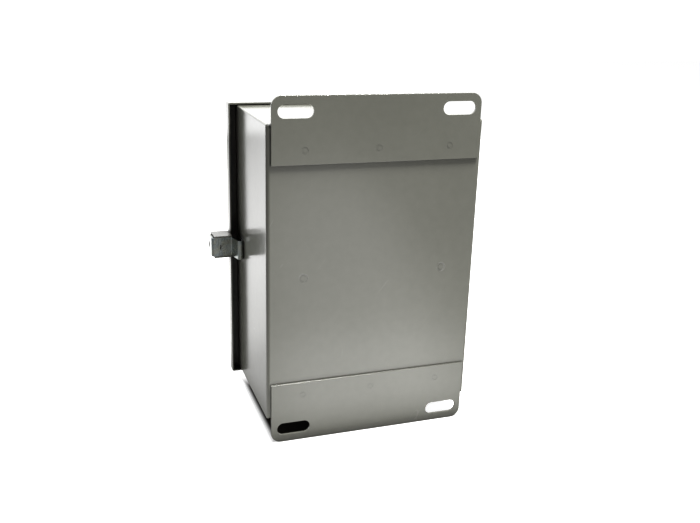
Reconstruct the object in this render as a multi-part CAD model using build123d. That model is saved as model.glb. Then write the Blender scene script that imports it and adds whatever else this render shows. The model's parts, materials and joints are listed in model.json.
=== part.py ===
"""Meter socket enclosure: a wall-hung sheet-steel box with a hinged cover and the socket inside it.

The box is a folded and welded tub. Two slotted flanges are spot-welded to its back, one above and
one below. A pan-shaped cover hangs on two pinned hinges, has a round raised opening for the meter,
and closes against a galvanised staple that a padlock or a seal goes through. Inside, a steel bracket
carries two moulded blocks with the four blade jaws and their wire lugs, and the neutral bar.

Units are millimetres. +X is to the right of a person who faces the cover, +Y goes into the wall and
+Z is up. The origin is on the wall, at the centre of the four mounting slots.
"""

import math
import os

from build123d import *

os.makedirs("parts", exist_ok=True)

# ---------------------------------------------------------------- driving dimensions
BODY_WIDTH = 203.2
BODY_HEIGHT = 276.4
BODY_DEPTH = 127.0
BODY_SHEET = 1.5
BACK_BEND_RADIUS = 3.2
SEAM_RADIUS = 1.4
RETURN_LIP = 9.0

FLANGE_WIDTH = 195.6
FLANGE_TIP = 162.6
FLANGE_ROOT = 103.0
FLANGE_SHEET = 1.9
FLANGE_CORNER = 9.5
EDGE_ROUND = 0.35
SLOT_LENGTH = 32.0
SLOT_WIDTH = 12.0
SLOT_SPACING_X = 152.4
SLOT_SPACING_Z = 298.5

COVER_WIDTH = 220.4
COVER_HEIGHT = 281.8
COVER_GAP = 1.6
COVER_DEPTH = 12.5
COVER_SHEET = 1.5
COVER_BEND = 2.4
METER_OPENING_RADIUS = 82.5
METER_RIM_RISE = 7.0
METER_RIM_WIDTH = 10.5
METER_RIM_SLOPE = 4.0

HINGE_X = -113.0
HINGE_Y = -113.5
HINGE_LEVELS = {"upper": 88.0, "lower": -88.0}
HINGE_LENGTH = 50.0
KNUCKLE_LENGTH = 16.4
KNUCKLE_RADIUS = 3.0
KNUCKLE_BORE = 1.55
PIN_RADIUS = 1.5
LEAF_SHEET = 1.5

STAPLE_SHEET = 1.9
STAPLE_HEIGHT = 19.0
STAPLE_REACH = 130.6
STAPLE_TIP = -128.6
STAPLE_FACE = -111.0
STAPLE_BACK = -95.0
LOCK_HOLE_RADIUS = 2.8
LOCK_HOLE_Y = -124.8
HASP_HALF_HEIGHT = 11.2
HASP_SHEET = 1.5
HASP_REACH = 128.0
HASP_END = -110.8
HASP_EAR_END = -118.5
HASP_EAR_HALF_HEIGHT = 8.0

HUB_Y = -62.0
HUB_RADIUS = 24.0
HUB_PLATE_SIZE = 66.0
HUB_SCREW_SPACING = 50.8
HUB_GASKET = 1.2
HUB_PLATE_SHEET = 1.9

JAW_X = 35.7
JAW_Z = 44.45
BLADE_GAP = 2.4
BRACKET_FACE = -50.0
BRACKET_SHEET = 2.0
BRACKET_HEIGHT = 40.0
STUD_X = 67.8
STUD_Z = -0.8
BLOCK_WIDTH = 37.0
BLOCK_HALF_HEIGHT = 93.0
BLOCK_FACE = -68.0
PEDESTAL_FACE = -84.25
STRAP_SHEET = 2.0
LUG_BORE_RADIUS = 5.6
LUG_BORE_Y = -95.5
LUG_LOW_Z = 67.0
LUG_HIGH_Z = 89.0
SET_SCREW_RADIUS = 4.75
NEUTRAL_BORE_RADIUS = 5.0

# ---------------------------------------------------------------- derived places
HALF_WIDTH = BODY_WIDTH / 2
HALF_HEIGHT = BODY_HEIGHT / 2
BODY_BACK = -FLANGE_SHEET
BODY_FRONT = BODY_BACK - BODY_DEPTH
PANEL_INSIDE = BODY_BACK - BODY_SHEET
COVER_FRONT = BODY_FRONT - COVER_GAP - COVER_SHEET
COVER_LIP_END = COVER_FRONT + COVER_DEPTH
STRAP_FACE = PEDESTAL_FACE - STRAP_SHEET
SIDES = {"left": -1, "right": 1}
CIRCUITS = {"line": 1, "load": -1}


# ---------------------------------------------------------------- small helpers
def slab(xs, ys, zs):
    """A rectangular block between two corners, given as (low, high) for each axis."""
    spans = (xs, ys, zs)
    size = [abs(high - low) for low, high in spans]
    middle = [(low + high) / 2 for low, high in spans]
    return Pos(*middle) * Box(*size)


def rod(axis, radius, span, at):
    """A cylinder along one axis, from span[0] to span[1], at the other two coordinates in order."""
    length = abs(span[1] - span[0])
    middle = (span[0] + span[1]) / 2
    if axis == "x":
        return Pos(middle, at[0], at[1]) * Rot(0, 90, 0) * Cylinder(radius, length)
    if axis == "y":
        return Pos(at[0], middle, at[1]) * Rot(90, 0, 0) * Cylinder(radius, length)
    return Pos(at[0], at[1], middle) * Cylinder(radius, length)


def hexagon_rod(axis, across_flats, span, at):
    """A hexagonal prism along one axis, used for bolt heads, nuts and key sockets."""
    low = min(span)
    length = abs(span[1] - span[0])
    prism = extrude(RegularPolygon(across_flats / math.sqrt(3), 6), length)
    if axis == "y":
        return Pos(at[0], low + length, at[1]) * Rot(90, 0, 0) * prism
    return Pos(at[0], at[1], low) * prism


def bent_strip(points, sheet, bend_radius, zs):
    """Sheet metal bent about vertical lines: its middle line in plan, given a thickness and a height."""
    path = FilletPolyline(*points, radius=bend_radius)
    return Pos(0, 0, zs[0]) * extrude(trace(path, sheet), zs[1] - zs[0])


def along(solid, axis, tolerance=1e-3):
    """The straight edges of a solid that run along an axis."""
    return solid.edges().filter_by(axis, tolerance=tolerance)


def button_head(radius, height, round_radius):
    """A screw or rivet head that stands on the XY plane, with its outer edge rounded over."""
    head = Pos(0, 0, height / 2) * Cylinder(radius, height)
    top_edge = head.edges().filter_by(GeomType.CIRCLE).sort_by(Axis.Z)[-1]
    return fillet(top_edge, round_radius)


def facing(direction, at):
    """The place of something built along +Z, turned so that +Z points in a named direction."""
    turns = {"-y": (90, 0, 0), "+y": (-90, 0, 0), "+x": (0, 90, 0), "-x": (0, -90, 0), "+z": (0, 0, 0)}
    return Pos(*at) * Rot(*turns[direction])


def pan_screw(head_radius, head_height, shank_radius, shank_length, slotted=True):
    """A pan-head machine screw along +Z, with its head above the XY plane and its shank below."""
    screw = button_head(head_radius, head_height, head_height * 0.45)
    screw += Pos(0, 0, -shank_length / 2) * Cylinder(shank_radius, shank_length)
    if slotted:
        slot_depth = head_height * 0.5
        screw -= Pos(0, 0, head_height - slot_depth / 2) * Box(head_radius * 2.2, 1.2, slot_depth)
    return screw


def hex_screw(across_flats, head_height, shank_radius, shank_length):
    """A hexagon-head screw along +Z with a washer face, its head above the XY plane."""
    washer = 0.6
    screw = Pos(0, 0, washer / 2) * Cylinder(across_flats * 0.62, washer)
    screw += hexagon_rod("z", across_flats, (washer, head_height), (0, 0))
    screw += Pos(0, 0, -shank_length / 2) * Cylinder(shank_radius, shank_length)
    return screw


def rivet(grip):
    """A domed rivet along +Z: its head is above the XY plane, and its tail is past the grip below."""
    head_radius, head_height = 3.1, 1.3
    shank_radius = 1.6
    tail_radius, tail_height = 2.5, 0.9
    made = button_head(head_radius, head_height, 1.0)
    made += Pos(0, 0, -grip / 2) * Cylinder(shank_radius, grip)
    made += Pos(0, 0, -grip - tail_height / 2) * Cylinder(tail_radius, tail_height)
    return made


RIVET_HOLE_RADIUS = 1.65


def set_screw(radius, length):
    """A socket set screw along +Z, with its key end on the XY plane and its body below."""
    socket_width, socket_depth = 4.8, 4.5
    body = Pos(0, 0, -length / 2) * Cylinder(radius, length)
    body = chamfer(body.edges().filter_by(GeomType.CIRCLE), 0.5)
    return body - hexagon_rod("z", socket_width, (-socket_depth, 0.1), (0, 0))


def weld_mark(radius, depth, at, direction):
    """A shallow ring, as a spot weld leaves in the sheet, ready to be cut out of it."""
    ring = Cylinder(radius, 2 * depth) - Cylinder(radius * 0.55, 2 * depth)
    return facing(direction, at) * ring


# ---------------------------------------------------------------- box body
def tub(half_width, half_height, front, back, back_radius, seam_radius):
    """A solid block with its four back edges and its four corner seams rounded."""
    block = slab((-half_width, half_width), (front, back), (-half_height, half_height))
    block = fillet(along(block, Axis.Y), seam_radius)
    back_edges = block.faces().sort_by(Axis.Y)[-1].edges()
    return fillet(back_edges, back_radius)


def knockout(at, radii):
    """The grooves of a concentric knockout in the bottom wall, with the ties left between them."""
    depth, width, tie = 0.9, 0.8, 3.0
    bottom = -HALF_HEIGHT
    grooves = None
    for number, radius in enumerate(radii):
        ring = rod("z", radius, (bottom - 1, bottom + depth), at)
        ring -= rod("z", radius - width, (bottom - 1, bottom + depth), at)
        ties = Pos(at[0], at[1], bottom) * Rot(0, 0, 45 * number) * Box(2.4 * radius, tie, 4)
        ring -= ties
        grooves = ring if grooves is None else grooves + ring
    return grooves


STAPLE_RIVET_Y = (-102.5, -112.5)
HINGE_BODY_RIVET_Y = -99.5
HINGE_COVER_RIVET_Y = COVER_FRONT + 7.0
HINGE_RIVET_SPREAD = 16.0
KNOCKOUTS = {(0.0, -66.0): (31.0, 25.0, 21.5), (-62.0, -66.0): (17.2, 13.9), (62.0, -66.0): (17.2, 13.9)}
DRAIN_HOLES = ((-84.0, -20.0), (84.0, -20.0))
DRAIN_RADIUS = 3.2
GROUND_STUD = (52.0, -114.0)


def hub_screw_places():
    """Where the four hub plate screws stand on the top wall."""
    half = HUB_SCREW_SPACING / 2
    return [(x, HUB_Y + y) for x in (-half, half) for y in (-half, half)]


def body_shell():
    """The folded tub with its return lip, hub opening, knockouts, drain holes and rivet holes."""
    shell = tub(HALF_WIDTH, HALF_HEIGHT, BODY_FRONT, BODY_BACK, BACK_BEND_RADIUS, SEAM_RADIUS)
    shell -= tub(
        HALF_WIDTH - BODY_SHEET,
        HALF_HEIGHT - BODY_SHEET,
        BODY_FRONT + BODY_SHEET,
        PANEL_INSIDE,
        BACK_BEND_RADIUS - BODY_SHEET,
        0.6,
    )
    mouth_x = HALF_WIDTH - RETURN_LIP
    mouth_z = HALF_HEIGHT - RETURN_LIP
    mouth = slab((-mouth_x, mouth_x), (BODY_FRONT - 1, BODY_FRONT + 3), (-mouth_z, mouth_z))
    shell -= fillet(along(mouth, Axis.Y), 5.0)
    shell -= rod("z", HUB_RADIUS, (HALF_HEIGHT - 5, HALF_HEIGHT + 5), (0, HUB_Y))
    for place in hub_screw_places():
        shell -= rod("z", 2.45, (HALF_HEIGHT - 5, HALF_HEIGHT + 5), place)
    for at, radii in KNOCKOUTS.items():
        shell -= knockout(at, radii)
    for at in DRAIN_HOLES:
        shell -= rod("z", DRAIN_RADIUS, (-HALF_HEIGHT - 5, -HALF_HEIGHT + 5), at)
    for y in STAPLE_RIVET_Y:
        shell -= rod("x", RIVET_HOLE_RADIUS, (HALF_WIDTH - 5, HALF_WIDTH + 5), (y, 0))
    for level in HINGE_LEVELS.values():
        for rise in (-HINGE_RIVET_SPREAD, HINGE_RIVET_SPREAD):
            at = (HINGE_BODY_RIVET_Y, level + rise)
            shell -= rod("x", RIVET_HOLE_RADIUS, (-HALF_WIDTH - 5, -HALF_WIDTH + 5), at)
    for side in SIDES.values():
        shell -= weld_mark(4.2, 0.22, (side * STUD_X, BODY_BACK, STUD_Z), "+y")
        for end in (-1, 1):
            relief = (side * HALF_WIDTH, BODY_BACK - BACK_BEND_RADIUS * 0.55, end * HALF_HEIGHT)
            shell -= Pos(*relief) * Sphere(1.3)
    return shell


def flange(end):
    """One slotted mounting flange on the back of the tub: end is 1 above and -1 below."""
    half = FLANGE_WIDTH / 2
    zs = sorted((end * FLANGE_ROOT, end * FLANGE_TIP))
    plate = slab((-half, half), (BODY_BACK, 0), zs)
    outer = plate.edges().filter_by(Axis.Y).sort_by(Axis.Z)
    outer = outer[-2:] if end > 0 else outer[:2]
    plate = fillet(outer, FLANGE_CORNER)
    for side in SIDES.values():
        centre = Pos(side * SLOT_SPACING_X / 2, BODY_BACK / 2, end * SLOT_SPACING_Z / 2)
        slot = extrude(SlotOverall(SLOT_LENGTH, SLOT_WIDTH), 5, both=True)
        plate -= centre * Rot(90, 0, 0) * slot
    rear_face = plate.faces().filter_by(Axis.Y).sort_by(Axis.Y)[-1]
    plate = fillet(rear_face.outer_wire().edges(), EDGE_ROUND)
    for x in (-68.0, 0.0, 68.0):
        plate -= weld_mark(3.2, 0.15, (x, 0, end * 115.5), "+y")
    return plate


# ---------------------------------------------------------------- cover and its hinges
def meter_rim():
    """The raised ring round the meter opening, as one bent section turned about the opening's axis."""
    middle = COVER_SHEET / 2
    base = COVER_FRONT + middle
    crest = base - METER_RIM_RISE
    inner = METER_OPENING_RADIUS + middle
    outer = METER_OPENING_RADIUS + METER_RIM_WIDTH
    points = [
        (outer + METER_RIM_SLOPE + 4, base),
        (outer + METER_RIM_SLOPE, base),
        (outer, crest),
        (inner, crest),
        (inner, base + 2.0),
    ]
    section = trace(FilletPolyline(*points, radius=2.2), COVER_SHEET)
    return revolve(section, Axis.Y)


def cover_pan():
    """The cover: a pan with a lip on all four sides and the raised meter rim in its face."""
    half_width = COVER_WIDTH / 2
    half_height = COVER_HEIGHT / 2
    inside = COVER_SHEET
    pan = slab((-half_width, half_width), (COVER_FRONT, COVER_LIP_END), (-half_height, half_height))
    pan = fillet(along(pan, Axis.Y), 1.6)
    pan = fillet(pan.faces().sort_by(Axis.Y)[0].edges(), COVER_BEND)
    hollow = slab(
        (inside - half_width, half_width - inside),
        (COVER_FRONT + inside, COVER_LIP_END + 1),
        (inside - half_height, half_height - inside),
    )
    hollow = fillet(along(hollow, Axis.Y), 0.5)
    pan -= fillet(hollow.faces().sort_by(Axis.Y)[0].edges(), COVER_BEND - inside)
    cut_radius = METER_OPENING_RADIUS + METER_RIM_WIDTH + METER_RIM_SLOPE + 2
    pan -= rod("y", cut_radius, (COVER_FRONT - 1, COVER_FRONT + 4), (0, 0))
    pan += meter_rim()
    for level in HINGE_LEVELS.values():
        for rise in (-HINGE_RIVET_SPREAD, HINGE_RIVET_SPREAD):
            at = (HINGE_COVER_RIVET_Y, level + rise)
            pan -= rod("x", RIVET_HOLE_RADIUS, (-half_width - 5, -half_width + 5), at)
    return pan


def hasp_channel():
    """The U-shaped tab welded to the cover's free edge, with an inner ear that meets the staple."""
    inner_end = COVER_WIDTH / 2
    half = HASP_HALF_HEIGHT
    outline = slab((inner_end, HASP_REACH), (COVER_FRONT, HASP_END), (-half, half))
    outline = fillet(along(outline, Axis.X).sort_by(Axis.Y)[:2], 2.0)
    gap = half - HASP_SHEET
    back_of_web = COVER_FRONT + HASP_SHEET
    hollow = slab((inner_end - 1, HASP_REACH + 1), (back_of_web, HASP_END + 1), (-gap, gap))
    hollow = fillet(along(hollow, Axis.X).sort_by(Axis.Y)[:2], 0.5)
    ear_half = HASP_EAR_HALF_HEIGHT
    ear_xs = (HASP_REACH - HASP_SHEET, HASP_REACH)
    ear = slab(ear_xs, (back_of_web - 0.5, HASP_EAR_END), (-ear_half, ear_half))
    ear = fillet(along(ear, Axis.X).sort_by(Axis.Y)[-2:], 3.0)
    ear -= rod("x", LOCK_HOLE_RADIUS, (HASP_REACH - 5, HASP_REACH + 5), (LOCK_HOLE_Y, 0))
    return outline - hollow + ear


def staple():
    """The galvanised strap riveted to the box: foot, stand-off, cross face and the leg with its hole."""
    middle = STAPLE_SHEET / 2
    foot_x = HALF_WIDTH + middle
    leg_x = STAPLE_REACH - middle
    face_y = STAPLE_FACE - middle
    points = [
        (foot_x, -119.5),
        (foot_x, STAPLE_BACK - middle),
        (106.3, STAPLE_BACK - middle),
        (109.7, face_y),
        (leg_x, face_y),
        (leg_x, STAPLE_TIP),
    ]
    half = STAPLE_HEIGHT / 2
    strap = bent_strip(points, STAPLE_SHEET, 1.6, (-half, half))
    tip_edges = along(strap, Axis.X).sort_by(Axis.Y)[:2]
    strap = fillet(tip_edges, 2.2)
    strap -= rod("x", LOCK_HOLE_RADIUS, (leg_x - 5, leg_x + 5), (LOCK_HOLE_Y, 0))
    for y in STAPLE_RIVET_Y:
        strap -= rod("x", RIVET_HOLE_RADIUS, (foot_x - 5, foot_x + 5), (y, 0))
    dimple = Pos(121.5, STAPLE_FACE, 0) * Rot(-90, 45, 0) * Box(5.0, 5.0, 0.9)
    return strap - dimple


def hinge_body_leaf(level):
    """The leaf riveted to the box, with the two outer knuckles of one hinge."""
    half = HINGE_LENGTH / 2
    web_y = HINGE_Y + KNUCKLE_RADIUS - LEAF_SHEET / 2
    foot_x = -HALF_WIDTH - LEAF_SHEET / 2
    points = [(foot_x, -90.5), (foot_x, web_y), (HINGE_X, web_y)]
    leaf = bent_strip(points, LEAF_SHEET, 1.3, (level - half, level + half))
    middle_half = KNUCKLE_LENGTH / 2 + 0.4
    leaf -= slab((HINGE_X - 5, -108.8), (-120, -105), (level - middle_half, level + middle_half))
    for end in (-1, 1):
        span = sorted((level + end * middle_half, level + end * half))
        leaf += rod("z", KNUCKLE_RADIUS, span, (HINGE_X, HINGE_Y))
    leaf -= rod("z", KNUCKLE_BORE, (level - half - 1, level + half + 1), (HINGE_X, HINGE_Y))
    for rise in (-HINGE_RIVET_SPREAD, HINGE_RIVET_SPREAD):
        at = (HINGE_BODY_RIVET_Y, level + rise)
        leaf -= rod("x", RIVET_HOLE_RADIUS, (foot_x - 5, foot_x + 5), at)
    return leaf


def hinge_cover_leaf(level):
    """The leaf riveted to the cover's lip, with the middle knuckle of one hinge."""
    half = HINGE_LENGTH / 2
    knuckle_half = KNUCKLE_LENGTH / 2
    face_x = -COVER_WIDTH / 2
    xs = (face_x - LEAF_SHEET, face_x)
    leaf_ys = (COVER_FRONT + COVER_BEND + 0.2, COVER_LIP_END - 0.2)
    leaf = slab(xs, leaf_ys, (level - half, level + half))
    leaf += slab(xs, (COVER_LIP_END - 1, HINGE_Y), (level - knuckle_half, level + knuckle_half))
    span = (level - knuckle_half, level + knuckle_half)
    leaf += rod("z", KNUCKLE_RADIUS, span, (HINGE_X, HINGE_Y))
    leaf -= rod("z", KNUCKLE_BORE, (level - half, level + half), (HINGE_X, HINGE_Y))
    for rise in (-HINGE_RIVET_SPREAD, HINGE_RIVET_SPREAD):
        at = (HINGE_COVER_RIVET_Y, level + rise)
        leaf -= rod("x", RIVET_HOLE_RADIUS, (face_x - 5, face_x + 5), at)
    return leaf


def hinge_pin(level):
    """A hinge pin with a head at each end, turning inside the three knuckles."""
    half = HINGE_LENGTH / 2
    head_radius, head_height = 2.4, 1.3
    pin = rod("z", PIN_RADIUS, (level - half, level + half), (HINGE_X, HINGE_Y))
    head = button_head(head_radius, head_height, 0.8)
    pin += Pos(HINGE_X, HINGE_Y, level + half) * head
    pin += Pos(HINGE_X, HINGE_Y, level - half) * Rot(180, 0, 0) * head
    return pin


def hinge_rivets(face_x, y, direction, grip):
    """The four rivets that hold one side of both hinges."""
    places = []
    for level in HINGE_LEVELS.values():
        for rise in (-HINGE_RIVET_SPREAD, HINGE_RIVET_SPREAD):
            places.append(facing(direction, (face_x, y, level + rise)) * rivet(grip))
    return Compound(places)


# ---------------------------------------------------------------- hub closing plate
def rounded_plate(size, corner, zs):
    """A square plate with round corners, centred over the hub opening."""
    half = size / 2
    plate = slab((-half, half), (HUB_Y - half, HUB_Y + half), zs)
    return fillet(along(plate, Axis.Z), corner)


def hub_gasket():
    """The flat rubber seal between the closing plate and the top wall."""
    low = HALF_HEIGHT
    seal = rounded_plate(HUB_PLATE_SIZE, 8.0, (low, low + HUB_GASKET))
    seal -= rod("z", HUB_RADIUS, (low - 1, low + 5), (0, HUB_Y))
    for place in hub_screw_places():
        seal -= rod("z", 2.6, (low - 1, low + 5), place)
    return seal


def hub_plate():
    """The closing plate, with a pressed dome that sheds water."""
    low = HALF_HEIGHT + HUB_GASKET
    high = low + HUB_PLATE_SHEET
    plate = rounded_plate(HUB_PLATE_SIZE, 8.0, (low, high))
    dome_rise = 2.2
    dome = rod("z", HUB_RADIUS - 1.5, (high - 0.5, high + dome_rise), (0, HUB_Y))
    dome = fillet(dome.edges().filter_by(GeomType.CIRCLE).sort_by(Axis.Z)[-1], 1.8)
    plate += dome
    hollow_top = high + dome_rise - HUB_PLATE_SHEET
    plate -= rod("z", HUB_RADIUS - 1.5 - HUB_PLATE_SHEET, (low - 1, hollow_top), (0, HUB_Y))
    for place in hub_screw_places():
        plate -= rod("z", 2.6, (low - 1, high + 1), place)
    return plate


def hub_screws():
    """The four screws of the closing plate."""
    top = HALF_HEIGHT + HUB_GASKET + HUB_PLATE_SHEET
    screw = pan_screw(4.2, 2.8, 2.4, 9.0)
    return Compound([Pos(x, y, top) * screw for x, y in hub_screw_places()])


# ---------------------------------------------------------------- socket bracket and blocks
BLOCK_SCREW_Z = (-12.0, 12.0)


def socket_bracket():
    """The hat-shaped steel bracket that holds the socket off the back panel."""
    middle = BRACKET_SHEET / 2
    foot_y = PANEL_INSIDE - middle
    face_y = BRACKET_FACE + middle
    points = [(-80, foot_y), (-58, foot_y), (-58, face_y), (58, face_y), (58, foot_y), (80, foot_y)]
    half = BRACKET_HEIGHT / 2
    hat = bent_strip(points, BRACKET_SHEET, 2.6, (-half, half))
    for side in SIDES.values():
        hat -= rod("y", 3.3, (-12, 0), (side * STUD_X, STUD_Z))
        for z in BLOCK_SCREW_Z:
            hat -= rod("y", 2.5, (BRACKET_FACE - 3, BRACKET_FACE + 5), (side * JAW_X, z))
    hat -= rod("y", 2.5, (BRACKET_FACE - 3, BRACKET_FACE + 5), (0, 0))
    return hat


def weld_studs():
    """The two studs welded inside the back panel for the bracket."""
    studs = [rod("y", 3.0, (-18.0, PANEL_INSIDE), (side * STUD_X, STUD_Z)) for side in SIDES.values()]
    return Compound([chamfer(stud.edges().sort_by(Axis.Y)[0], 0.6) for stud in studs])


def bracket_nuts():
    """The two nuts that clamp the bracket's feet."""
    seat = PANEL_INSIDE - BRACKET_SHEET
    nuts = []
    for side in SIDES.values():
        at = (side * STUD_X, STUD_Z)
        nut = hexagon_rod("y", 10.0, (seat - 5.0, seat), at)
        nuts.append(nut - rod("y", 3.05, (seat - 6, seat + 1), at))
    return Compound(nuts)


def insulator_block(side):
    """A moulded block with two pedestals for the jaws, and a barrier wall towards the box side."""
    centre = side * JAW_X
    half = BLOCK_WIDTH / 2
    high = BLOCK_HALF_HEIGHT
    block = slab((centre - half, centre + half), (BLOCK_FACE, BRACKET_FACE), (-high, high))
    for end in CIRCUITS.values():
        zs = sorted((end * 31.0, end * (high - 1.0)))
        block += slab((centre - 12.5, centre + 12.5), (PEDESTAL_FACE, BLOCK_FACE + 1), zs)
    wall_xs = sorted((side * (JAW_X + half), side * (JAW_X + half - 2.6)))
    block += slab(wall_xs, (-101.0, BLOCK_FACE + 1), (-high, high))
    inner_xs = sorted((side * (JAW_X - half), side * (JAW_X - half + 2.6)))
    block += slab(inner_xs, (-90.0, BLOCK_FACE + 1), (-high, high))
    for end in CIRCUITS.values():
        block += slab((centre - half, centre + half), (-80.0, BLOCK_FACE + 1), sorted((end * 24, end * 26.5)))
    block = fillet(along(block, Axis.Y), 0.8)
    for end in CIRCUITS.values():
        block -= rod("y", 2.6, (PEDESTAL_FACE - 1, -68.5), (centre, end * 60.5))
    for z in BLOCK_SCREW_Z:
        block -= rod("y", 2.6, (BLOCK_FACE - 1, BRACKET_FACE + 1), (centre, z))
    return block


def block_screws():
    """The four screws that hold the two blocks to the bracket."""
    screw = pan_screw(4.4, 3.0, 2.4, BRACKET_FACE - BLOCK_FACE + 6.0)
    places = [(side * JAW_X, BLOCK_FACE, z) for side in SIDES.values() for z in BLOCK_SCREW_Z]
    return Compound([facing("-y", place) * screw for place in places])


# ---------------------------------------------------------------- jaws, springs, lugs
JAW_SHEET = 1.5
JAW_MOUTH = -118.5
JAW_THROAT = -112.5
JAW_WAIST = -96.0
JAW_WAIST_X = 3.7
JAW_MOUTH_X = 4.8
JAW_HALF_WIDTH = 10.0
SPRING_YS = (-108.0, -102.0)
JAW_BOLT_Z = 60.5


def blade_jaw(side, end):
    """A copper jaw: two sprung leaves that grip a meter blade, on the strap that runs to the lug."""
    centre = side * JAW_X
    throat = (BLADE_GAP + JAW_SHEET) / 2
    base_y = STRAP_FACE - JAW_SHEET / 2
    half_path = [
        (JAW_MOUTH_X, JAW_MOUTH),
        (throat, JAW_THROAT),
        (JAW_WAIST_X, JAW_WAIST),
        (JAW_WAIST_X, base_y),
    ]
    points = [(centre - x, y) for x, y in half_path]
    points += [(centre + x, y) for x, y in reversed(half_path)]
    low = end * JAW_Z - JAW_HALF_WIDTH
    jaw = bent_strip(points, JAW_SHEET, 1.2, (low, low + 2 * JAW_HALF_WIDTH))
    zs = sorted((end * (JAW_Z - 11.5), end * (LUG_HIGH_Z + 1.0)))
    strap = slab((centre - 9.5, centre + 9.5), (STRAP_FACE, PEDESTAL_FACE), zs)
    strap -= rod("y", 2.6, (STRAP_FACE - 1, PEDESTAL_FACE + 1), (centre, end * JAW_BOLT_Z))
    return jaw + strap


def jaw_spring(side, end):
    """The steel band round both leaves of a jaw, which keeps its grip."""
    centre = (side * JAW_X, sum(SPRING_YS) / 2, end * JAW_Z)
    depth = SPRING_YS[1] - SPRING_YS[0]
    inner_x, inner_z, band = 3.85, JAW_HALF_WIDTH + 0.3, 0.9
    ring = RectangleRounded(2 * (inner_x + band), 2 * (inner_z + band), 1.2)
    ring -= RectangleRounded(2 * inner_x, 2 * inner_z, 0.3)
    return Pos(*centre) * Rot(90, 0, 0) * extrude(ring, depth / 2, both=True)


def wire_lug(side, end):
    """An aluminium lug with a bore for the wire along Z and a tapped hole for its set screw."""
    centre = side * JAW_X
    zs = sorted((end * LUG_LOW_Z, end * LUG_HIGH_Z))
    lug = slab((centre - 9.0, centre + 9.0), (-108.5, STRAP_FACE), zs)
    lug = fillet(along(lug, Axis.Z).sort_by(Axis.Y)[:2], 5.0)
    lug = chamfer(lug.faces().sort_by(Axis.Z)[-1].edges(), 0.5)
    lug -= rod("z", LUG_BORE_RADIUS, (zs[0] - 1, zs[1] + 1), (centre, LUG_BORE_Y))
    middle_z = sum(zs) / 2
    return lug - rod("y", SET_SCREW_RADIUS + 0.05, (-120, LUG_BORE_Y), (centre, middle_z))


def lug_set_screws():
    """The four set screws of the line and load lugs, backed out clear of the wire bores."""
    tip = LUG_BORE_Y - LUG_BORE_RADIUS - 0.4
    length = 10.5
    screw = set_screw(SET_SCREW_RADIUS, length)
    middle_z = (LUG_LOW_Z + LUG_HIGH_Z) / 2
    made = []
    for side in SIDES.values():
        for end in CIRCUITS.values():
            at = (side * JAW_X, tip - length, end * middle_z)
            made.append(facing("-y", at) * screw)
    return Compound(made)


def jaw_bolts():
    """The four bolts that fix the jaw straps to their pedestals."""
    screw = hex_screw(8.0, 4.4, 2.5, 15.0)
    made = []
    for side in SIDES.values():
        for end in CIRCUITS.values():
            made.append(facing("-y", (side * JAW_X, STRAP_FACE, end * JAW_BOLT_Z)) * screw)
    return Compound(made)


# ---------------------------------------------------------------- neutral bar and ground lug
NEUTRAL_FACE = -70.0
NEUTRAL_HALF_HEIGHT = 34.0
NEUTRAL_BORE_Y = -58.5
NEUTRAL_SCREW_Z = 21.0
NEUTRAL_SCREW_RADIUS = 4.2


def neutral_bar():
    """The aluminium bar between the blocks, with a blind wire bore at each end."""
    half = 11.0
    high = NEUTRAL_HALF_HEIGHT
    bar = slab((-half, half), (NEUTRAL_FACE, BRACKET_FACE), (-high, high))
    bar = fillet(along(bar, Axis.Z).sort_by(Axis.Y)[:2], 3.0)
    for end in CIRCUITS.values():
        span = sorted((end * 8.0, end * (high + 1)))
        bar -= rod("z", NEUTRAL_BORE_RADIUS, span, (0, NEUTRAL_BORE_Y))
        at = (0, end * NEUTRAL_SCREW_Z)
        bar -= rod("y", NEUTRAL_SCREW_RADIUS + 0.05, (NEUTRAL_FACE - 1, NEUTRAL_BORE_Y), at)
    return bar - rod("y", 2.6, (NEUTRAL_FACE - 1, BRACKET_FACE + 1), (0, 0))


def neutral_screws():
    """The two set screws of the neutral bar."""
    tip = NEUTRAL_BORE_Y - NEUTRAL_BORE_RADIUS - 0.4
    length = 9.5
    screw = set_screw(NEUTRAL_SCREW_RADIUS, length)
    places = [(0, tip - length, end * NEUTRAL_SCREW_Z) for end in CIRCUITS.values()]
    return Compound([facing("-y", place) * screw for place in places])


def neutral_bolt():
    """The bolt through the middle of the neutral bar, which also bonds it to the bracket."""
    length = BRACKET_FACE - NEUTRAL_FACE + 5.0
    return facing("-y", (0, NEUTRAL_FACE, 0)) * hex_screw(8.0, 4.4, 2.4, length)


GROUND_LUG_X = (60.0, 76.0)
GROUND_BORE_RADIUS = 3.6
GROUND_BORE_Y = -11.0
GROUND_FACE = -20.0
GROUND_SCREW_RADIUS = 3.0
GROUND_TONGUE = 4.0


def ground_lug():
    """The grounding lug: a block with a wire bore along Z, and a tongue that goes over its stud."""
    stud_x, stud_z = GROUND_STUD
    zs = (stud_z - 8.0, stud_z + 8.0)
    lug = slab(GROUND_LUG_X, (GROUND_FACE, PANEL_INSIDE), zs)
    lug = fillet(along(lug, Axis.Z).sort_by(Axis.Y)[:2], 2.5)
    tongue = (PANEL_INSIDE - GROUND_TONGUE, PANEL_INSIDE)
    lug += slab((stud_x - 8.0, GROUND_LUG_X[0] + 1), tongue, zs)
    middle_x = sum(GROUND_LUG_X) / 2
    lug -= rod("z", GROUND_BORE_RADIUS, (zs[0] - 1, zs[1] + 1), (middle_x, GROUND_BORE_Y))
    lug -= rod("y", GROUND_SCREW_RADIUS + 0.05, (GROUND_FACE - 1, GROUND_BORE_Y), (middle_x, stud_z))
    return lug - rod("y", 2.6, (-12, 0), GROUND_STUD)


def ground_stud():
    """The stud welded inside the back panel for the grounding lug."""
    return rod("y", 2.5, (-15.0, PANEL_INSIDE), GROUND_STUD)


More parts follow.
